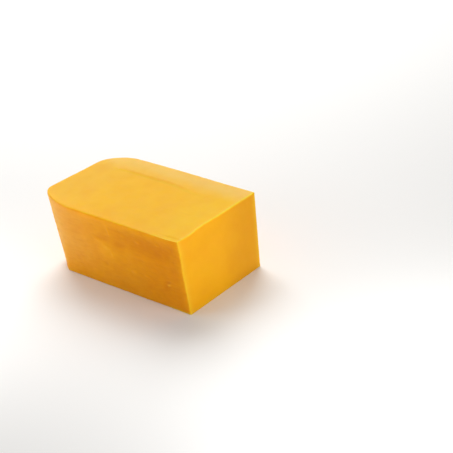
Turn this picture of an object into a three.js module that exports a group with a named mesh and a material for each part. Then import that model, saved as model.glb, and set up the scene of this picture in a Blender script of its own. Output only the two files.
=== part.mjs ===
import * as THREE from "three";
import { mergeVertices } from "three/addons/utils/BufferGeometryUtils.js";

// Prato cheese block: a moulded loaf of cheese with one end cut straight across by a knife.
// Millimetres, +Z up; X runs from the moulded end to the cut end, Y from the front to the back.

const { clamp, lerp, smoothstep } = THREE.MathUtils;

// Overall size, taken along the top edges
const LENGTH = 233;
const WIDTH = 132.5;
const HEIGHT = 95;

// Moulded form
const FRONT_CORNER_TOP = new THREE.Vector2(62, 28); // plan radii of the front upright corner, along X and Y
const BACK_CORNER_TOP = new THREE.Vector2(45, 37); // and of the back one
const CORNER_BASE = new THREE.Vector2(29, 29); // plan radii of both at the base
const ROUND = 2; // power of a corner's curve where it is an arc, as at the top
const BLUNT = 1.2; // power at the base, where it is nearly a straight chamfer
const ROUNDING = 0.7; // below 1 the curve turns round early on its way up
const SIDE_DRAFT = 4.5; // lean of the front and the back, from the top in to the base
const END_DRAFT = 6.5; // lean of the moulded end
const END_SKEW = 6; // the moulded end's back corner lies this far short of its front corner
const TOP_RIM = 3.5; // rounding of the top edge away from the cut
const BASE_RIM = 2; // rounding of the base edge away from the cut

// Knife cut, a little out of square
const CUT_EDGE = 1; // rounding of every edge the knife left
const CUT_SKEW = 2.5; // the cut's back edge lies this far short of its front edge
const RIM_FADE = LENGTH / 2; // distance from the cut over which the rims reach their full rounding

// Low lip that the press left along the back of the top
const LIP_INSET = 30; // from the back edge to the step
const LIP_STEP = 4; // width of the step
const LIP_RISE = 1.1;
const LIP_FALL = 0.4; // drop from the crest of the step to the back edge
const LIP_FADE_FROM = 95; // distance from the cut where the lip is still whole
const LIP_FADE_TO = 25; // distance from the cut where it has died out

// Slow swells of the faces, each at its deepest or highest
const TOP_SAG = 0.5;
const END_BULGE = 0.8;
const BACK_BULGE = 0.7;
const FRONT_HOLLOW = 0.9;
const HOLLOW_FROM_CUT = 58; // middle of the front's hollow, from the cut
const HOLLOW_HEIGHT = 74; // and above the base
const HOLLOW_REACH = new THREE.Vector2(48, 15); // how far it spreads along X and Z

// Cells of the surface grid between the marks below, finer at the rims and the lip
const X_MARKS = [
  -LENGTH / 2,
  TOP_RIM - LENGTH / 2,
  CORNER_BASE.x - LENGTH / 2,
  FRONT_CORNER_TOP.x - LENGTH / 2,
  LENGTH / 2 - 2 * CUT_EDGE,
  LENGTH / 2,
];
const X_CELLS = [3, 6, 5, 12, 2];
const LIP_MIDDLE = WIDTH / 2 - LIP_INSET;
const Y_MARKS = [
  -WIDTH / 2,
  TOP_RIM - WIDTH / 2,
  CORNER_BASE.y - WIDTH / 2,
  WIDTH / 2 - BACK_CORNER_TOP.y,
  LIP_MIDDLE - LIP_STEP / 2,
  LIP_MIDDLE + LIP_STEP / 2,
  WIDTH / 2 - TOP_RIM,
  WIDTH / 2,
];
const Y_CELLS = [3, 7, 5, 2, 2, 5, 3];
const Z_MARKS = [0, BASE_RIM, HEIGHT - TOP_RIM, HEIGHT];
const Z_CELLS = [2, 9, 3];

// Grid lines along one axis: the spans between the marks, each cut into its number of cells
function gridLines(marks, cells) {
  const lines = [marks[0]];
  cells.forEach((count, span) => {
    for (let step = 1; step <= count; step += 1) {
      lines.push(lerp(marks[span], marks[span + 1], step / count));
    }
  });
  return lines;
}

// Closed box whose surface is divided along the given lines
function griddedBox(xLines, yLines, zLines) {
  const counts = [xLines, yLines, zLines].map((lines) => lines.length - 1);
  const box = new THREE.BoxGeometry(...counts, ...counts);
  box.deleteAttribute("normal");
  box.deleteAttribute("uv");
  const welded = mergeVertices(box);
  const place = welded.attributes.position;
  for (let i = 0; i < place.count; i += 1) {
    place.setXYZ(
      i,
      xLines[Math.round(place.getX(i) + counts[0] / 2)],
      yLines[Math.round(place.getY(i) + counts[1] / 2)],
      zLines[Math.round(place.getZ(i) + counts[2] / 2)],
    );
  }
  return welded;
}

// Plan radii of the upright corner nearest to a point, and the power of its curve
function cornerCurve(p) {
  if (p.x > 0) return { radii: new THREE.Vector2(CUT_EDGE, CUT_EDGE), power: ROUND };
  const height = clamp(p.z / HEIGHT, 0, 1);
  const topRadii = p.y > 0 ? BACK_CORNER_TOP : FRONT_CORNER_TOP;
  const radii = CORNER_BASE.clone().lerp(topRadii, height);
  return { radii, power: lerp(BLUNT, ROUND, height ** ROUNDING) };
}

// A point's reach past the centre of that corner's curve, in shares of the radii; size is 1 on the curve
function planCorner(p) {
  const { radii, power } = cornerCurve(p);
  const share = new THREE.Vector2(
    Math.max((Math.abs(p.x) - LENGTH / 2) / radii.x + 1, 0),
    Math.max((Math.abs(p.y) - WIDTH / 2) / radii.y + 1, 0),
  );
  const size = (share.x ** power + share.y ** power) ** (1 / power);
  return { radii, power, share, size, inCorner: share.x > 0 && share.y > 0 };
}

// Draws the corners of the rectangular plan in onto their curves
function roundPlan(p) {
  const { radii, share, size, inCorner } = planCorner(p);
  if (!inCorner) return;
  const scale = Math.max(share.x, share.y) / size;
  p.x = Math.sign(p.x) * (LENGTH / 2 + radii.x * (share.x * scale - 1));
  p.y = Math.sign(p.y) * (WIDTH / 2 + radii.y * (share.y * scale - 1));
}

// Distance in from the rounded plan outline, and the way out of it
function planInset(p) {
  const { radii, power, share, size, inCorner } = planCorner(p);
  const signs = new THREE.Vector2(Math.sign(p.x), Math.sign(p.y));
  if (inCorner) {
    const reach = share.clone().multiply(radii).length();
    const slope = new THREE.Vector2(share.x ** (power - 1), share.y ** (power - 1)).divide(radii);
    return { inset: reach * (1 / size - 1), outward: slope.normalize().multiply(signs) };
  }
  const fromEnd = LENGTH / 2 - Math.abs(p.x);
  const fromSide = WIDTH / 2 - Math.abs(p.y);
  if (fromEnd < fromSide) return { inset: fromEnd, outward: new THREE.Vector2(signs.x, 0) };
  return { inset: fromSide, outward: new THREE.Vector2(0, signs.y) };
}

// Rounds the top rim (facing +1) or the base rim (facing -1), tighter towards the cut
function roundRim(p, fullRadius, facing) {
  const radius = CUT_EDGE + (fullRadius - CUT_EDGE) * smoothstep(LENGTH / 2 - p.x, 0, RIM_FADE);
  const { inset, outward } = planInset(p);
  const edge = facing > 0 ? HEIGHT : 0;
  const out = radius - inset;
  const up = radius - Math.abs(edge - p.z);
  if (out <= 0 || up <= 0) return;
  const scale = Math.max(out, up) / Math.hypot(out, up);
  p.x += outward.x * out * (scale - 1);
  p.y += outward.y * out * (scale - 1);
  p.z = edge + facing * (up * scale - radius);
}

// Leans the moulded sides in towards the base, and sets both ends out of square
function leanSides(p) {
  const depth = 1 - p.z / HEIGHT;
  const fromCut = (LENGTH / 2 - p.x) / LENGTH;
  const toBack = p.y / WIDTH + 0.5;
  p.y *= 1 - (SIDE_DRAFT * depth) / (WIDTH / 2);
  p.x += (END_DRAFT * depth + END_SKEW * toBack) * fromCut - CUT_SKEW * toBack * (1 - fromCut);
}

// Height of the pressed top above its level: a slight sag, and the lip that falls away to the back
function topRelief(x, y) {
  const fromCut = LENGTH / 2 - x;
  const alongLip = smoothstep(fromCut, LIP_FADE_TO, LIP_FADE_FROM);
  const fromStep = y - LIP_MIDDLE;
  const rise = LIP_RISE * smoothstep(fromStep, -LIP_STEP / 2, LIP_STEP / 2);
  const fall = LIP_FALL * smoothstep(fromStep, 0, LIP_INSET);
  const sag = TOP_SAG * Math.cos((Math.PI * x) / LENGTH) * Math.cos((Math.PI * y) / WIDTH);
  return rise * alongLip - fall - sag;
}

// Depth of the shallow hollow in the upper part of the front
function frontRelief(x, z) {
  const along = (LENGTH / 2 - x - HOLLOW_FROM_CUT) / HOLLOW_REACH.x;
  const up = (z - HOLLOW_HEIGHT) / HOLLOW_REACH.y;
  return FRONT_HOLLOW * Math.exp(-along * along - up * up);
}

// Presses the top and swells the sides; the base stays flat
function swellFaces(p) {
  const height = p.z / HEIGHT;
  const side = clamp(p.y / (WIDTH / 2), -1, 1);
  const end = clamp(-p.x / (LENGTH / 2), 0, 1);
  const belly = Math.sin(Math.PI * height);
  const frontHollow = frontRelief(p.x, p.z);
  const backBulge = BACK_BULGE * belly * Math.cos((Math.PI * p.x) / LENGTH);
  const endBulge = END_BULGE * belly * Math.cos((Math.PI * p.y) / WIDTH);
  p.z += topRelief(p.x, p.y) * height * height;
  p.y += side < 0 ? frontHollow * side * side : backBulge * side * side;
  p.x -= endBulge * end ** 3;
}

// The whole block, standing on the middle of its base
function blockGeometry() {
  const geometry = griddedBox(
    gridLines(X_MARKS, X_CELLS),
    gridLines(Y_MARKS, Y_CELLS),
    gridLines(Z_MARKS, Z_CELLS),
  );
  const place = geometry.attributes.position;
  const p = new THREE.Vector3();
  for (let i = 0; i < place.count; i += 1) {
    p.fromBufferAttribute(place, i);
    roundPlan(p);
    roundRim(p, TOP_RIM, 1);
    roundRim(p, BASE_RIM, -1);
    leanSides(p);
    swellFaces(p);
    place.setXYZ(i, p.x, p.y, p.z);
  }
  geometry.computeBoundingBox();
  const middle = geometry.boundingBox.getCenter(new THREE.Vector3());
  geometry.translate(-middle.x, -middle.y, -geometry.boundingBox.min.z);
  geometry.computeVertexNormals();
  return geometry;
}

const cheese = new THREE.MeshStandardMaterial({
  name: "cheese",
  color: 0xf0ab32,
  roughness: 0.5,
  metalness: 0,
});

const block = new THREE.Mesh(blockGeometry(), cheese);
block.name = "cheese_block";

const part = new THREE.Group();
part.name = "prato_cheese_block";
part.add(block);

export default part;
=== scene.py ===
"""Prato cheese block: a moulded loaf of cheese with one end cut straight across by a knife.

The block is shaped in millimetres, X from the moulded end to the cut, Y from the front to the back and Z up,
then fitted to the box of its solid and brought into the frame's metres.
"""

import math
import random
from dataclasses import dataclass

import bpy
import numpy as np
from mathutils import Matrix, Vector, noise


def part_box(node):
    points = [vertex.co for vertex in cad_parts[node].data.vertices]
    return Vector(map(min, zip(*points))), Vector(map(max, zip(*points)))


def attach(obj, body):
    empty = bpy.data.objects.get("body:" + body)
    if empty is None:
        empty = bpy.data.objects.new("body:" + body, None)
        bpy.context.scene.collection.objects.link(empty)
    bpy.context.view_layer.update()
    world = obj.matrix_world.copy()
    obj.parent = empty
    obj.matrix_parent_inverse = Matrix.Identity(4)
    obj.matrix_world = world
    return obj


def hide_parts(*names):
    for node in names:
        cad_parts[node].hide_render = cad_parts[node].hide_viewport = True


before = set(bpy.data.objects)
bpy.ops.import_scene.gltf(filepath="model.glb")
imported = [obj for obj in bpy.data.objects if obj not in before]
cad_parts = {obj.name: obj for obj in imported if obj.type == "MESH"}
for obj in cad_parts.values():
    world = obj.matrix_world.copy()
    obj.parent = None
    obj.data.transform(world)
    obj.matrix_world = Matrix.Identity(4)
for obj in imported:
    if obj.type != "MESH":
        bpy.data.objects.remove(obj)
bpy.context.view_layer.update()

NODE = "cheese_block"
MM = 0.001

# Size of the block, from its solid
LIP_CREST = 1.03  # how far the lip along the back of the top stands above the rest
BOX_LOW, BOX_HIGH = (np.array(corner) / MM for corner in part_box(NODE))
LENGTH, WIDTH, HEIGHT = BOX_HIGH - BOX_LOW - np.array([0, 0, LIP_CREST])
HALF_PLAN = np.array([LENGTH, WIDTH]) / 2

# Moulded form
FRONT_CORNER_TOP = np.array([62, 28])  # plan radii of the front upright corner, along X and Y
BACK_CORNER_TOP = np.array([45, 37])  # and of the back one
CORNER_BASE = np.array([29, 29])  # plan radii of both at the base
ROUND = 2  # power of a corner's curve where it is an arc, as at the top
BLUNT = 1.2  # power at the base, where it is nearly a straight chamfer
ROUNDING = 0.7  # below 1 the curve turns round early on its way up
SIDE_DRAFT = 4.5  # lean of the front and the back, from the top in to the base
END_DRAFT = 6.5  # lean of the moulded end
END_SKEW = 6  # the moulded end's back corner lies this far short of its front corner
TOP_RIM = 2  # rounding of the top edge away from the cut
BASE_RIM = 1.2  # rounding of the base edge away from the cut
RIM_WEAR = 0.25  # share by which every rim is more or less worn from place to place
RIM_WEAR_SIZE = 7  # size of such a place

# Knife cut, a little out of square
CUT_EDGE = 1  # rounding of every edge the knife left
CUT_SKEW = 2.5  # the cut's back edge lies this far short of its front edge
RIM_FADE = LENGTH / 2  # distance from the cut over which the rims reach their full rounding

# Low lip that the press left along the back of the top
LIP_INSET = 30  # from the back edge to the step
LIP_STEP = 4  # width of the step
LIP_RISE = 1.1
LIP_FALL = 0.4  # drop from the crest of the step to the back edge
LIP_FADE_FROM = 95  # distance from the cut where the lip is still whole
LIP_FADE_TO = 25  # distance from the cut where it has died out
LIP_SPREAD = 26  # the step is this much wider at the moulded end
LIP_SPREAD_RUN = (175, 221)  # and widens between these distances from the cut
LIP_BEND = 5  # the step bends this far away from the back edge towards the cut
LIP_BEND_RUN = (61, 118)  # between these distances from it
LIP_WANDER = 0.8  # how far the step strays from this line
LIP_WANDER_SIZE = 38  # length of one stray
CREASE_DEPTH = 0.06  # depth of the groove along the foot of the step
CREASE_WIDTH = 1.6  # half width of the groove
CREASE_RUN = (31, 98, 190, 214)  # distances from the cut: it starts, is whole, starts to fade, has died out

# Slow swells of the faces, each at its deepest or highest
TOP_SAG = 0.5
END_BULGE = 0.8
BACK_BULGE = 0.7
FRONT_HOLLOW = 0.9
HOLLOW_FROM_CUT = 58  # middle of the front's hollow, from the cut
HOLLOW_HEIGHT = 74  # and above the base
HOLLOW_REACH = (48, 15)  # how far it spreads along X and Z

# Slumped edges: how far each moves, and the distance within which that dies out
EDGE_DROOP = (0.7, 7)  # the top hangs along the front
EDGE_BULGE = (2.2, 11)  # and the front bulges out below its top edge
EDGE_RUN = (-16, 20, 170, 221)  # distances from the cut: both start, are whole, start to fade, have died out
FLANK_BULGE = (0.9, 14)  # the front swells beside the cut, most at half height
CUT_WAVES = [(18, 12, 0.55), (44, 14, -0.45)]  # on the cut's top edge: place from the front, reach and sag
CUT_WAVE_REACH = 9  # how far these waves reach over the top and down the cut

# Uneven surface: height and size of each kind of unevenness
SWELL = (0.35, 45)
MOTTLE = (0.04, 11)
TOP_DRAG = (0.035, (55, 5, 30))  # drawn out along the length by the press
SIDE_DRAG = (0.05, (8, 8, 48))  # drawn out upwards by the mould
SIDE_SMEAR = (0.2, (9, 9, 3.5))  # rubbed along the length
SIDE_SCUFF = (0.13, (4.5, 4.5, 1.8))  # rubbed likewise, but finer
KNIFE_RIPPLE = (0.04, (30, 9, 70))  # drawn out downwards by the knife
FOOT_FLARE = 0.25  # the block settles and spreads a little where it stands
FOOT_HEIGHT = (1.2, 4.5)  # full flare up to the first, none above the second
FLARE_SLOPE = 0.3  # where the surface faces sideways by less than this share, it flares less

# Share by which a point has to face one way to start to belong to that face, and to belong to it wholly
FACE_SHARES = (0.5, 0.9)
SIDE_SHARES = (0.4, 0.9)  # the same for facing up, where the tint of the sides ends

# Where each tint lies, the distances being those within which it fades; several tints are painted shade,
# sheen, glow and highlights
TOP_EDGE_REACH = (2.3, 1)  # the painted highlight along the top edge of the cut: away from the cut, and down it
UPRIGHT_EDGE_REACH = (1.6, 5)  # its upright edges: away from the cut, and across it
UPRIGHT_EDGE_SHARE = 0.4  # how strong the painted highlight on the upright edges is against the top edge
BURR_HIGHLIGHT_REACH = 1.6  # half width of the painted highlight along the front's top and base edges
BURR_HIGHLIGHT_RUN = (12, 50)  # which dies out between these distances from the cut
BROW_GLOW_REACH = 7.5  # the painted glow, a brighter band on the moulded sides below the top edge and beside the cut
BROW_GLOW_RUN = (120, 195)  # which dies out between these distances from the cut
FRESH_REACH = (8, 75)  # the top is yellower up to the first distance from the cut, fading to the second
TOP_SHEEN_FROM_CUT = (120, 235)  # and has a slight pale painted sheen that grows between these distances from it
BACK_SHEEN_REACH = (10, 38)  # the top has a paler painted sheen up to the first distance from its back edge, fading to the second
CUT_BACK_SHADE_REACH = (22, 74)  # and the cut darker with painted shade, in the same way
FLANK_REACH = (15, 110)  # the sides are redder up to the first distance from the cut, fading to the second
FOOT_SHADE_REACH = (5, 60)  # and darker with painted shade up to the first height, fading to the second
FOOT_SHADE_RUN = (-30, 110)  # which grows between these distances from the cut
END_SHEEN_FROM_CUT = (114, 218)  # the sides have a pale painted sheen that grows between these distances from the cut
END_SHEEN_HEIGHT = (2, 50)  # and dies out downwards between these heights
TINT_DEPTH = 0.45  # a mark this deep or high has its full tint
BUMP_HIGHLIGHT_HEIGHT = (0.45, 1.15)  # the sides' bumps carry a painted highlight above the first height, fully at the second

# Profile of every single mark
MARK_POWER = 1.5  # above 1 a mark has a flatter middle and a steeper edge


@dataclass
class Mark:
    """A dent or a bump on one face: its middle, its reach both ways, its slant in degrees and its height."""

    along: float
    up: float
    length: float
    width: float
    slant: float
    height: float

    def relief(self, along, up):
        """Height of the mark at points of its face."""
        turn = math.radians(self.slant)
        across = along - self.along
        above = up - self.up
        long_way = (across * math.cos(turn) + above * math.sin(turn)) / self.length
        short_way = (above * math.cos(turn) - across * math.sin(turn)) / self.width
        return self.height * np.exp(-((long_way**2 + short_way**2) ** MARK_POWER))


# Marks on the front: along is the distance from the cut, up the height above the base
FRONT_MARKS = [
    Mark(57, 73, 44, 12, 3, -0.42),  # deeper middle of the hollow
    Mark(53, 57, 40, 3, -4, 0.2),  # ridge below it
    Mark(123, 55.5, 18, 3.5, 22, 0.3),  # slanting end of the hollow
    Mark(121, 47, 14, 10, 0, 0.38),
    Mark(97, 63, 11, 5, 0, -0.35),
    Mark(40, 26, 36, 14, 0, -0.2),
    Mark(125, 67, 13, 4.5, 0, -0.4),
    Mark(126, 31, 4, 3, 0, -0.3),
    Mark(112, 46.5, 1.4, 4, -12, 0.4),
    Mark(112, 77.5, 1.2, 6, -8, 0.6),
    Mark(67, 75, 3.5, 1.2, 15, 0.7),
    Mark(34, 80, 3.5, 1.2, 5, 0.55),
    Mark(80, 33, 4, 1.4, 0, 0.55),
    Mark(61, 33, 4, 1.4, 0, 0.55),
    Mark(13, 79, 2.5, 3, 0, -0.3),
    Mark(13, 64, 2.5, 3, 0, -0.3),
    Mark(17, 52, 3, 2.5, 0, -0.25),
    Mark(26, 31.5, 3.6, 1.5, -18, 1.1),  # nick with its raised flap
    Mark(27, 34.5, 4.5, 1.4, -18, -0.5),
]

# Marks on the top: along is the distance from the cut, up the distance from the back edge
TOP_MARKS = [
    Mark(102, 102, 10, 1, 4, -0.16),
    Mark(64, 100, 8, 1, 3, -0.14),
    Mark(38, 78, 9, 1, -5, -0.16),
    Mark(18, WIDTH - 1.6, 22, 1.4, 0, 0.3),  # burr along the front edge, with its groove
    Mark(12, WIDTH - 4, 16, 1.2, 0, -0.75),
]

# Marks on the back and on the moulded end, scattered alike
HIDDEN_MARKS = 26
HIDDEN_SEED = 7
HIDDEN_LENGTHS = (2, 14)  # between the shortest and the longest
HIDDEN_WIDTH = 0.6  # share of the length
HIDDEN_HEIGHTS = (0.1, 0.9)  # shares of the block's height between which they lie
HIDDEN_SLANT = 30  # degrees either way
HIDDEN_RELIEF = (-0.3, 0.25)  # between the deepest dent and the highest bump

# Cells of the surface grid between its marks, finer at the rims
RIM_ZONE = 5
CORNER_ENDS = (CORNER_BASE[0], FRONT_CORNER_TOP[0])
X_MARKS = np.array([0, RIM_ZONE, *CORNER_ENDS, LENGTH - RIM_ZONE, LENGTH - CUT_EDGE, LENGTH])
X_CELLS = [6, 22, 24, 120, 3, 4]
Y_MARKS = np.array([0, CUT_EDGE, RIM_ZONE, WIDTH - RIM_ZONE, WIDTH - CUT_EDGE, WIDTH])
Y_CELLS = [4, 4, 94, 4, 4]
Z_MARKS = np.array([0, CUT_EDGE, RIM_ZONE, HEIGHT - RIM_ZONE, HEIGHT - CUT_EDGE, HEIGHT])
Z_CELLS = [4, 4, 66, 4, 4]

# Camera, from the photograph's frame of 453 by 453 pixels
PHOTO_SIDE = 453
FOCAL_PIXELS = 1393
AZIMUTH = 44.26  # degrees, from the front round towards the cut
ELEVATION = 27.65
ROLL = -7.16
AIM_HEIGHT = 47.5 * MM  # the point of the block's axis that the next two lines place
AIM_PIXEL = (148.72, 229.77)
AIM_DEPTH = 1629.3 * MM

# Colours of the cheese, linear
GOLD = (0.93, 0.475, 0.004)  # pressed top
TINTS = {  # what a point's reading turns the gold into, one after the other; several of them paint shade, sheen, glow and highlights
    "fresh": (0.93, 0.51, 0.003),
    "cut": (0.885, 0.42, 0.008),
    # the moulded sides: partly their own deeper colour, partly painted shade
    "side": (0.92, 0.375, 0.005),
    "flank": (0.91, 0.338, 0.003),
    # painted shade: darker towards the base of the sides
    "foot": (0.83, 0.345, 0.010),
    # painted sheen: paler and whiter on the sides towards the moulded end
    "end_sheen": (0.85, 0.40, 0.055),
    # painted sheen on the top towards the moulded end
    "top_sheen": (0.88, 0.475, 0.03),
    # painted sheen along the back of the top
    "back_sheen": (0.90, 0.545, 0.10),
    # painted shade in the groove along the lip's step and in the top's dents
    "crease": (0.89, 0.50, 0.001),
    # painted shade on the cut towards its back edge
    "cut_back_shade": (0.79, 0.355, 0.008),
    # painted glow under the top edge and beside the cut
    "brow_glow": (1.0, 0.41, 0.005),
    # painted highlight on the sides' bumps
    "bump_highlight": (1.0, 0.53, 0.04),
    # painted highlight along the cut's edges
    "knife_edge_highlight": (0.86, 0.61, 0.042),
    # painted highlight along the front's top and base edges beside the cut
    "burr_highlight": (1.0, 0.64, 0.06),
}
SHADES = {  # what a point's reading multiplies the tinted colour by: painted shade in the sides' dents, painted highlight on their bumps
    # painted shade in the sides' dents
    "dent_shade": (0.92, 0.84, 0.78),
    # painted highlight on the sides' bumps
    "crest": (1.06, 1.10, 1.40),
}
MOTTLING = (0.97, 0.94, 0.85)  # what the darker mottles leave of the colour
STREAKING = (0.98, 0.955, 0.92)  # what the darker of the fine streaks on the sides leave of it

# Noise in the surface of the cheese: the size of its lumps, and the two levels between which it is spread
MOTTLING_NOISE = (22 * MM, (0.35, 0.65))
STREAK_NOISE = (2 * MM, (0.4, 0.6))
STREAK_DRAW = (0.15, 0.15, 1)  # streaks are drawn out along X, Y and Z by one over these shares
GRAIN_NOISE = (2.5 * MM, (0.2, 0.8))
RUB_NOISE = (9 * MM, (0.3, 0.7))
NOISE_DETAIL = 4.0

# Grain and gloss of the cheese, and the light inside it
GRAIN_HEIGHT = 0.2 * MM
GRAIN_STRENGTH = 0.06
ROUGHNESS = (0.40, 0.54)  # of the smoothest and of the roughest places
GLOSS = 0.07
SCATTER = (1.0, 0.85, 0.4)  # how far red, green and blue light spreads inside, against the size below
SCATTER_SIZE = 6 * MM

# Sockets of the node that mixes colours, by number because several have the same name
MIX_SHARE, MIX_FIRST, MIX_SECOND = 0, 6, 7
MIX_RESULT = 2

# Studio
WORLD_COLOUR = (1.0, 1.0, 1.0)
WORLD_STRENGTH = 0.2
FLOOR_COLOUR = (0.93, 0.92, 0.90)
FLOOR_ROUGHNESS = 0.9
FLOOR_GLOSS = 0.1
FLOOR_SIZE = 12  # metres


@dataclass
class Softbox:
    """A square soft white light aimed at the block: its azimuth from the front round towards the cut and its
    elevation in degrees, its distance and side in metres, and its power in watts."""

    name: str
    azimuth: float
    elevation: float
    distance: float
    side: float
    power: float


SOFTBOXES = [
    Softbox("window", 225, 50, 1.8, 1.25, 30.3),
    Softbox("right", 80, 20, 0.55, 0.3, 1.12),
    Softbox("left", 325, 22, 0.4, 0.3, 0.49),
]


def smoothstep(value, start, end):
    """0 up to start, 1 from end on, and a smooth rise between them."""
    share = np.clip((value - start) / (end - start), 0, 1)
    return share * share * (3 - 2 * share)


# Form of the block

def grid_lines(marks, cells):
    """Grid lines along one axis: the spans between the marks, each cut into its number of cells."""
    spans = zip(marks[:-1], marks[1:], cells)
    lines = [np.linspace(low, high, count, endpoint=False) for low, high, count in spans]
    return np.concatenate([*lines, marks[-1:]])


def box_skin(lines):
    """Points and outward quads of a closed box divided along the given lines, with every corner shared."""
    counts = [len(line) for line in lines]
    outer = np.zeros(counts, bool)
    for axis in range(3):
        outer.swapaxes(0, axis)[[0, -1]] = True
    number = np.full(counts, -1)
    number[outer] = np.arange(outer.sum())
    quads = []
    for axis in range(3):
        for end in (0, -1):
            sheet = number.take(end, axis=axis)
            corners = [sheet[:-1, :-1], sheet[1:, :-1], sheet[1:, 1:], sheet[:-1, 1:]]
            quad = np.stack(corners, axis=-1).reshape(-1, 4)
            faces_out = (end == -1) == (axis != 1)
            quads.append(quad if faces_out else quad[:, ::-1])
    points = np.stack(np.meshgrid(*lines, indexing="ij"), axis=-1)[outer]
    return points, np.concatenate(quads)


def plan_corner(p):
    """Which points lie in an upright corner of the plan, and for these the corner's radii, the power of its
    curve, their reach past its centre in shares of the radii, and their size, which is 1 on the curve."""
    height = np.clip(p[:, 2:] / HEIGHT, 0, 1)
    at_cut = p[:, 0:1] > 0
    top_radii = np.where(p[:, 1:2] > 0, BACK_CORNER_TOP, FRONT_CORNER_TOP)
    radii = np.where(at_cut, CUT_EDGE, CORNER_BASE + (top_radii - CORNER_BASE) * height)
    power = np.where(at_cut, ROUND, BLUNT + (ROUND - BLUNT) * height**ROUNDING)
    share = (np.abs(p[:, :2]) - HALF_PLAN) / radii + 1
    inside = np.all(share > 0, axis=1)
    radii, power, share = radii[inside], power[inside], share[inside]
    size = (share**power).sum(axis=1, keepdims=True) ** (1 / power)
    return inside, radii, power, share, size


def round_plan(p):
    """Draws the corners of the rectangular plan in onto their curves."""
    inside, radii, _, share, size = plan_corner(p)
    scale = share.max(axis=1, keepdims=True) / size
    p[inside, :2] = np.sign(p[inside, :2]) * (HALF_PLAN + radii * (share * scale - 1))


def plan_inset(p):
    """Distance of each point in from the rounded plan outline, and the way out of it."""
    signs = np.sign(p[:, :2])
    gaps = HALF_PLAN - np.abs(p[:, :2])
    at_end = gaps[:, 0] < gaps[:, 1]
    inset = gaps.min(axis=1)
    outward = signs * np.stack([at_end, ~at_end], axis=1)
    inside, radii, power, share, size = plan_corner(p)
    inset[inside] = np.linalg.norm(share * radii, axis=1) * (1 / size[:, 0] - 1)
    slope = share ** (power - 1) / radii
    outward[inside] = signs[inside] * slope / np.linalg.norm(slope, axis=1, keepdims=True)
    return inset, outward


def round_rim(p, full_radius, facing):
    """Rounds the top rim (facing +1) or the base rim (facing -1), tighter towards the cut."""
    radius = CUT_EDGE + (full_radius - CUT_EDGE) * smoothstep(LENGTH / 2 - p[:, 0], 0, RIM_FADE)
    radius *= 1 + RIM_WEAR * uneven(p, RIM_WEAR_SIZE)
    inset, outward = plan_inset(p)
    edge = HEIGHT if facing > 0 else 0
    out = radius - inset
    up = radius - np.abs(edge - p[:, 2])
    on_rim = (out > 0) & (up > 0)
    out, up = out[on_rim], up[on_rim]
    scale = np.maximum(out, up) / np.hypot(out, up)
    p[on_rim, :2] += outward[on_rim] * (out * (scale - 1))[:, None]
    p[on_rim, 2] = edge + facing * (up * scale - radius[on_rim])


def lean_sides(p):
    """Leans the moulded sides in towards the base, and sets both ends out of square."""
    depth = 1 - p[:, 2] / HEIGHT
    from_cut = (LENGTH / 2 - p[:, 0]) / LENGTH
    to_back = p[:, 1] / WIDTH + 0.5
    p[:, 1] *= 1 - SIDE_DRAFT * depth / (WIDTH / 2)
    p[:, 0] += (END_DRAFT * depth + END_SKEW * to_back) * from_cut - CUT_SKEW * to_back * (1 - from_cut)


def past_step(x, y):
    """Distance of points of the top past the middle of the lip's wandering step, towards the back."""
    wander = LIP_WANDER * uneven(np.stack([x, 0 * x, 0 * x], axis=1), LIP_WANDER_SIZE)
    bend = LIP_BEND * (1 - smoothstep(LENGTH / 2 - x, *LIP_BEND_RUN))
    return y - (WIDTH / 2 - LIP_INSET) + bend - wander


def along_run(x, run):
    """1 along the middle of a run of distances from the cut, fading at both its ends."""
    from_cut = LENGTH / 2 - x
    return smoothstep(from_cut, *run[:2]) * (1 - smoothstep(from_cut, *run[2:]))


def crease(x, y):
    """1 in the groove along the foot of the lip's step, dying out beside it and at its ends."""
    across = (past_step(x, y) + LIP_STEP / 2) / CREASE_WIDTH
    return along_run(x, CREASE_RUN) * np.exp(-(across**2))


def top_relief(x, y):
    """Height of the pressed top above its level: a slight sag, and the lip that falls away to the back."""
    from_cut = LENGTH / 2 - x
    from_step = past_step(x, y)
    half_step = (LIP_STEP + LIP_SPREAD * smoothstep(from_cut, *LIP_SPREAD_RUN)) / 2
    along_lip = smoothstep(from_cut, LIP_FADE_TO, LIP_FADE_FROM)
    rise = LIP_RISE * smoothstep(from_step, -half_step, half_step)
    fall = LIP_FALL * smoothstep(from_step, 0, LIP_INSET)
    sag = TOP_SAG * np.cos(math.pi * x / LENGTH) * np.cos(math.pi * y / WIDTH)
    return rise * along_lip - fall - sag - CREASE_DEPTH * crease(x, y)


def swell_faces(p):
    """Presses the top and swells the sides; the base stays flat."""
    x, y, z = p.T.copy()
    height = z / HEIGHT
    side = np.clip(y / (WIDTH / 2), -1, 1)
    end = np.clip(-x / (LENGTH / 2), 0, 1)
    belly = np.sin(math.pi * height)
    along = (LENGTH / 2 - x - HOLLOW_FROM_CUT) / HOLLOW_REACH[0]
    up = (z - HOLLOW_HEIGHT) / HOLLOW_REACH[1]
    front_hollow = FRONT_HOLLOW * np.exp(-along**2 - up**2)
    back_bulge = BACK_BULGE * belly * np.cos(math.pi * x / LENGTH)
    end_bulge = END_BULGE * belly * np.cos(math.pi * y / WIDTH)
    p[:, 2] += top_relief(x, y) * height**2
    p[:, 1] += np.where(side < 0, front_hollow, back_bulge) * side**2
    p[:, 0] -= end_bulge * end**3


def fit_to_box(p):
    """Brings the finished form exactly into the solid's box."""
    low, high = p.min(axis=0), p.max(axis=0)
    return BOX_LOW + (p - low) * (BOX_HIGH - BOX_LOW) / (high - low)


def near(distance, reach):
    """1 at no distance, dying out within about the reach."""
    return np.exp(-((distance / reach) ** 2))


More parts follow.
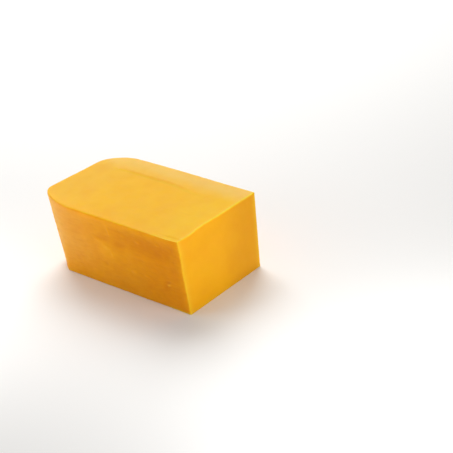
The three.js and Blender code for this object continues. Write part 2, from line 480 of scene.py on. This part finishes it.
def slump_edges(p):
    """Lets the top's edge hang and bulge a little along the front, swells the front beside the cut, and lets
    the cut's top edge sag in waves."""
    x, y, z = p.T.copy()
    height = (z / HEIGHT) ** 2
    front = np.clip(-y / (WIDTH / 2), 0, 1) ** 2
    run = along_run(x, EDGE_RUN)
    droop, droop_reach = EDGE_DROOP
    bulge, bulge_reach = EDGE_BULGE
    flank, flank_reach = FLANK_BULGE
    p[:, 2] -= droop * run * near(WIDTH / 2 + y, droop_reach) * height
    p[:, 1] -= bulge * run * near(HEIGHT - z, bulge_reach) * front
    p[:, 1] -= flank * near(LENGTH / 2 - x, flank_reach) * np.sin(math.pi * z / HEIGHT).clip(0) * front
    by_cut_edge = near(np.hypot(LENGTH / 2 - x, HEIGHT - z), CUT_WAVE_REACH)
    for from_front, reach, sag in CUT_WAVES:
        wave = sag * near(WIDTH / 2 + y - from_front, reach) * by_cut_edge
        p[:, 0] += wave
        p[:, 2] -= wave


# Uneven surface

def uneven(p, size):
    """Smooth noise of about -1 to 1 whose lumps have the given size."""
    return np.array([noise.noise(Vector(point)) for point in p / size])


def vertex_normals(p, quads):
    """Outward unit normal at every point."""
    facing = np.cross(p[quads[:, 2]] - p[quads[:, 0]], p[quads[:, 3]] - p[quads[:, 1]])
    normals = np.zeros_like(p)
    for corner in quads.T:
        np.add.at(normals, corner, facing)
    return normals / np.linalg.norm(normals, axis=1, keepdims=True)


def hidden_marks():
    """Small dents and bumps for the back and the moulded end, all by chance."""
    chance = random.Random(HIDDEN_SEED)
    marks = []
    for _ in range(HIDDEN_MARKS):
        length = chance.uniform(*HIDDEN_LENGTHS)
        along = chance.uniform(-LENGTH / 2, LENGTH / 2)
        up = chance.uniform(*HIDDEN_HEIGHTS) * HEIGHT
        slant = chance.uniform(-HIDDEN_SLANT, HIDDEN_SLANT)
        height = chance.uniform(*HIDDEN_RELIEF)
        marks.append(Mark(along, up, length, length * HIDDEN_WIDTH, slant, height))
    return marks


def facing_weights(normals):
    """How far each point belongs to the top, the base, the cut, the front, the back and the moulded end."""
    ways = {"top": (2, 1), "base": (2, -1), "cut": (0, 1), "front": (1, -1), "back": (1, 1), "end": (0, -1)}
    return {face: smoothstep(sign * normals[:, axis], *FACE_SHARES) for face, (axis, sign) in ways.items()}


def mark_relief(p, facing):
    """Height of the single marks on every face."""
    x, y, z = p.T
    from_cut = LENGTH / 2 - x
    front = sum(mark.relief(from_cut, z) for mark in FRONT_MARKS)
    top = sum(mark.relief(from_cut, WIDTH / 2 - y) for mark in TOP_MARKS)
    hidden = hidden_marks()
    back = sum(mark.relief(x, z) for mark in hidden)
    end = sum(mark.relief(y, z) for mark in hidden)
    return front * facing["front"] + top * facing["top"] + back * facing["back"] + end * facing["end"]


def surface_relief(p, facing):
    """Height of the general unevenness: mottling, and the traces of press, mould, handling and knife."""
    moulded = np.maximum.reduce([facing["front"], facing["back"], facing["end"]])
    traces = [
        (TOP_DRAG, facing["top"]),
        (SIDE_DRAG, moulded),
        (SIDE_SMEAR, moulded),
        (SIDE_SCUFF, moulded),
        (KNIFE_RIPPLE, facing["cut"]),
    ]
    height, size = MOTTLE
    relief = height * uneven(p, size)
    for (height, size), face in traces:
        relief += height * uneven(p, np.array(size)) * face
    return relief


def flare_foot(p, normals):
    """Spreads the sides outwards where the block stands."""
    low = 1 - smoothstep(p[:, 2], *FOOT_HEIGHT)
    slope = np.linalg.norm(normals[:, :2], axis=1, keepdims=True)
    p[:, :2] += FOOT_FLARE * low[:, None] * normals[:, :2] / np.maximum(slope, FLARE_SLOPE)


def brow_glow(raw):
    """Where the painted glow lies: 1 along the top edge and the cut, dying out within a few millimetres and
    towards the moulded end; raw points lie on the plain box."""
    from_cut = LENGTH / 2 - raw[:, 0]
    return near(np.minimum(HEIGHT - raw[:, 2], from_cut), BROW_GLOW_REACH) * (1 - smoothstep(from_cut, *BROW_GLOW_RUN))


def knife_edge_highlight(raw):
    """Where the painted highlight of the cut's edges lies: 1 on the edge of the top at the cut, and a lower
    share on the cut's upright edges, dying out within a few millimetres; raw points lie on the plain box."""
    from_cut = LENGTH / 2 - raw[:, 0]
    from_side = WIDTH / 2 - np.abs(raw[:, 1])
    from_top = HEIGHT - raw[:, 2]
    top = near(from_cut, TOP_EDGE_REACH[0]) * near(from_top, TOP_EDGE_REACH[1])
    upright = near(from_cut, UPRIGHT_EDGE_REACH[0]) * near(from_side, UPRIGHT_EDGE_REACH[1])
    worn = np.clip(1 + uneven(raw, RIM_WEAR_SIZE), 0, 1)
    return np.maximum(top * worn, UPRIGHT_EDGE_SHARE * upright)


def burr_highlight(raw, facing):
    """Painted highlight beside the cut: 1 on top of the front's raised top edge and all round its base edge.
    """
    by_front = near(WIDTH / 2 + raw[:, 1], BURR_HIGHLIGHT_REACH)
    lies = np.maximum(facing["top"], near(raw[:, 2], BURR_HIGHLIGHT_REACH))
    return by_front * lies * (1 - smoothstep(LENGTH / 2 - raw[:, 0], *BURR_HIGHLIGHT_RUN))


def tint_readings(raw, normals, facing, fine):
    """What the material reads at each point, which is how far each tint reaches there; raw points lie on the
    plain box, and fine is the height of the marks and of the fine unevenness."""
    from_cut = LENGTH / 2 - raw[:, 0]
    from_back = WIDTH / 2 - raw[:, 1]
    height = raw[:, 2]
    # the sides' tint: partly their own deeper colour, partly painted shade
    side = (1 - smoothstep(normals[:, 2], *SIDE_SHARES)) * (1 - facing["cut"])
    # painted shade towards the base of the sides
    foot = (1 - smoothstep(height, *FOOT_SHADE_REACH)) * smoothstep(from_cut, *FOOT_SHADE_RUN)
    # painted sheen on the sides towards the moulded end
    end_sheen = smoothstep(height, *END_SHEEN_HEIGHT) * smoothstep(from_cut, *END_SHEEN_FROM_CUT)
    return {
        "fresh": facing["top"] * (1 - smoothstep(from_cut, *FRESH_REACH)),
        "cut": facing["cut"],
        "side": side,
        "flank": side * (1 - smoothstep(from_cut, *FLANK_REACH)),
        "foot": side * foot,
        "end_sheen": side * end_sheen,
        # painted sheen on the top towards the moulded end
        "top_sheen": facing["top"] * smoothstep(from_cut, *TOP_SHEEN_FROM_CUT),
        # painted sheen along the back of the top
        "back_sheen": facing["top"] * (1 - smoothstep(from_back, *BACK_SHEEN_REACH)),
        # painted shade in the groove along the lip's step and in the top's dents
        "crease": facing["top"] * np.maximum(crease(raw[:, 0], raw[:, 1]), -fine / TINT_DEPTH),
        # painted shade on the cut towards its back edge
        "cut_back_shade": facing["cut"] * (1 - smoothstep(from_back, *CUT_BACK_SHADE_REACH)),
        # painted glow under the top edge and beside the cut
        "brow_glow": side * brow_glow(raw),
        # painted highlight on the sides' bumps
        "bump_highlight": side * smoothstep(fine, *BUMP_HIGHLIGHT_HEIGHT),
        # painted highlight along the cut's edges
        "knife_edge_highlight": knife_edge_highlight(raw),
        # painted highlight along the front's top and base edges beside the cut
        "burr_highlight": burr_highlight(raw, facing),
        # painted shade in the sides' dents
        "dent_shade": side * np.clip(-fine / TINT_DEPTH, 0, 1),
        # painted highlight on the sides' bumps
        "crest": side * np.clip(fine / TINT_DEPTH, 0, 1),
    }


def block_surface():
    """Points and quads of the finished block, and what its material reads at each point."""
    lines = [grid_lines(X_MARKS, X_CELLS), grid_lines(Y_MARKS, Y_CELLS), grid_lines(Z_MARKS, Z_CELLS)]
    raw, quads = box_skin(lines)
    raw[:, :2] -= HALF_PLAN
    p = raw.copy()
    round_plan(p)
    round_rim(p, TOP_RIM, 1)
    round_rim(p, BASE_RIM, -1)
    lean_sides(p)
    swell_faces(p)
    p = fit_to_box(p)
    slump_edges(p)
    normals = vertex_normals(p, quads)
    facing = facing_weights(normals)
    fine = mark_relief(p, facing) + surface_relief(p, facing)
    height, size = SWELL
    relief = (fine + height * uneven(p, size)) * (1 - facing["base"])
    flare_foot(p, normals)
    p += normals * relief[:, None]
    p[:, 2] = np.maximum(p[:, 2], 0)
    return p, quads, tint_readings(raw, normals, facing, fine)


def make_block():
    """The cheese block as one closed mesh with smooth shading."""
    points, quads, reads = block_surface()
    mesh = bpy.data.meshes.new("prato_block")
    mesh.from_pydata(points * MM, [], quads.tolist())
    mesh.shade_smooth()
    for name, values in reads.items():
        layer = mesh.attributes.new(name, "FLOAT", "POINT")
        layer.data.foreach_set("value", values.astype(np.float32))
    mesh.materials.append(cheese_material())
    block = bpy.data.objects.new("prato_block", mesh)
    bpy.context.scene.collection.objects.link(block)
    return block


# Materials

def add_node(tree, kind, inputs=None, **settings):
    """A node with its settings and inputs; an input given as another node's output is linked to it."""
    node = tree.nodes.new(kind)
    for name, value in settings.items():
        setattr(node, name, value)
    for name, value in (inputs or {}).items():
        if isinstance(value, bpy.types.NodeSocket):
            tree.links.new(value, node.inputs[name])
        else:
            node.inputs[name].default_value = value
    return node


def colour(linear):
    """A colour socket's value."""
    return (*linear, 1)


def mixed(tree, share, first, second, way="MIX"):
    """Output that goes from the first colour, with the share, to the second or to their product."""
    inputs = {MIX_SHARE: share, MIX_FIRST: first, MIX_SECOND: second}
    return add_node(tree, "ShaderNodeMix", inputs, data_type="RGBA", blend_type=way).outputs[MIX_RESULT]


def noise_share(tree, place, size, spread, draw=(1, 1, 1)):
    """Output from 0 to 1 of noise between the two levels of its spread, with lumps of this size in metres,
    drawn out along each axis by one over its share."""
    low, high = spread
    drawn = add_node(tree, "ShaderNodeMapping", {"Vector": place, "Scale": draw}).outputs["Vector"]
    lumps = {"Vector": drawn, "Scale": 1 / size, "Detail": NOISE_DETAIL}
    level = add_node(tree, "ShaderNodeTexNoise", lumps).outputs["Fac"]
    levels = {"Value": level, "From Min": low, "From Max": high}
    return add_node(tree, "ShaderNodeMapRange", levels).outputs["Result"]


def read_attribute(tree, name):
    """Output of a value that the mesh holds at its points."""
    return add_node(tree, "ShaderNodeAttribute", attribute_name=name).outputs["Fac"]


def cheese_colour(tree, place):
    """Gold, tinted by what the mesh reads at each point, with painted shade, sheen, glow and highlights
    among the tints and shades, streaked on the sides and mottled all over.
    """
    shade = colour(GOLD)
    for name, tint in TINTS.items():
        shade = mixed(tree, read_attribute(tree, name), shade, colour(tint))
    for name, left_over in SHADES.items():
        shade = mixed(tree, read_attribute(tree, name), shade, colour(left_over), "MULTIPLY")
    streaks = noise_share(tree, place, *STREAK_NOISE, STREAK_DRAW)
    factors = {0: streaks, 1: read_attribute(tree, "side")}
    on_sides = add_node(tree, "ShaderNodeMath", factors, operation="MULTIPLY").outputs["Value"]
    shade = mixed(tree, on_sides, shade, colour(STREAKING), "MULTIPLY")
    mottles = noise_share(tree, place, *MOTTLING_NOISE)
    return mixed(tree, mottles, shade, colour(MOTTLING), "MULTIPLY")


def cheese_bump(tree, place):
    """Fine waxy grain of the surface."""
    grain = noise_share(tree, place, *GRAIN_NOISE)
    relief = {"Height": grain, "Strength": GRAIN_STRENGTH, "Distance": GRAIN_HEIGHT}
    return add_node(tree, "ShaderNodeBump", relief).outputs["Normal"]


def cheese_material():
    """Waxy cheese: light spreads inside it, and its gloss is uneven."""
    material = bpy.data.materials.new("cheese_prato")
    material.use_nodes = True
    tree = material.node_tree
    tree.nodes.clear()
    place = add_node(tree, "ShaderNodeTexCoord").outputs["Object"]
    rubbed = noise_share(tree, place, *RUB_NOISE)
    smooth, rough = ROUGHNESS
    roughness = add_node(tree, "ShaderNodeMapRange", {"Value": rubbed, "To Min": smooth, "To Max": rough})
    surface = {
        "Base Color": cheese_colour(tree, place),
        "Roughness": roughness.outputs["Result"],
        "Specular IOR Level": GLOSS,
        "Subsurface Weight": 1.0,
        "Subsurface Radius": SCATTER,
        "Subsurface Scale": SCATTER_SIZE,
        "Normal": cheese_bump(tree, place),
    }
    shader = add_node(tree, "ShaderNodeBsdfPrincipled", surface)
    add_node(tree, "ShaderNodeOutputMaterial", {"Surface": shader.outputs["BSDF"]})
    return material


def floor_material():
    """Matt pale studio floor."""
    material = bpy.data.materials.new("studio_floor")
    material.use_nodes = True
    shader = material.node_tree.nodes["Principled BSDF"]
    shader.inputs["Base Color"].default_value = colour(FLOOR_COLOUR)
    shader.inputs["Roughness"].default_value = FLOOR_ROUGHNESS
    shader.inputs["Specular IOR Level"].default_value = FLOOR_GLOSS
    return material


# Studio

def make_floor():
    """Large flat floor that the block stands on."""
    half = FLOOR_SIZE / 2
    corners = [(-half, -half, 0), (half, -half, 0), (half, half, 0), (-half, half, 0)]
    mesh = bpy.data.meshes.new("floor")
    mesh.from_pydata(corners, [], [(0, 1, 2, 3)])
    mesh.materials.append(floor_material())
    floor = bpy.data.objects.new("floor", mesh)
    bpy.context.scene.collection.objects.link(floor)


def make_world():
    """Even light from all round."""
    world = bpy.data.worlds.new("studio")
    world.use_nodes = True
    background = world.node_tree.nodes["Background"]
    background.inputs["Color"].default_value = colour(WORLD_COLOUR)
    background.inputs["Strength"].default_value = WORLD_STRENGTH
    bpy.context.scene.world = world


def way_to(azimuth, elevation):
    """Unit vector from the block towards an azimuth, from the front round to the cut, and an elevation."""
    around, above = math.radians(azimuth), math.radians(elevation)
    return Vector((math.sin(around) * math.cos(above), -math.cos(around) * math.cos(above), math.sin(above)))


def make_softbox(box):
    """Soft light aimed at the block."""
    light = bpy.data.lights.new(box.name, "AREA")
    light.shape = "SQUARE"
    light.size = box.side
    light.energy = box.power
    lamp = bpy.data.objects.new(box.name, light)
    way = way_to(box.azimuth, box.elevation)
    lamp.location = way * box.distance
    lamp.rotation_euler = way.to_track_quat("Z", "Y").to_euler()
    lamp.visible_camera = False
    bpy.context.scene.collection.objects.link(lamp)


def make_camera():
    """Camera at the photograph's place, with its framing and slight roll."""
    back = way_to(AZIMUTH, ELEVATION)
    turned = back.to_track_quat("Z", "Y").to_matrix() @ Matrix.Rotation(math.radians(ROLL), 3, "Z")
    right, up, _ = turned.col
    aim_right, aim_down = ((pixel - PHOTO_SIDE / 2) / FOCAL_PIXELS * AIM_DEPTH for pixel in AIM_PIXEL)
    aim = Vector((0, 0, AIM_HEIGHT))
    lens = bpy.data.cameras.new("camera")
    lens.sensor_fit = "HORIZONTAL"
    lens.lens = lens.sensor_width * FOCAL_PIXELS / PHOTO_SIDE
    camera = bpy.data.objects.new("camera", lens)
    place = aim - right * aim_right + up * aim_down + back * AIM_DEPTH
    camera.matrix_world = Matrix.Translation(place) @ turned.to_4x4()
    bpy.context.scene.collection.objects.link(camera)
    bpy.context.scene.camera = camera


make_camera()
make_world()
for softbox in SOFTBOXES:
    make_softbox(softbox)
make_floor()
bpy.context.scene.view_settings.view_transform = "Standard"

block = make_block()
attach(block, "root")
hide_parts(NODE)
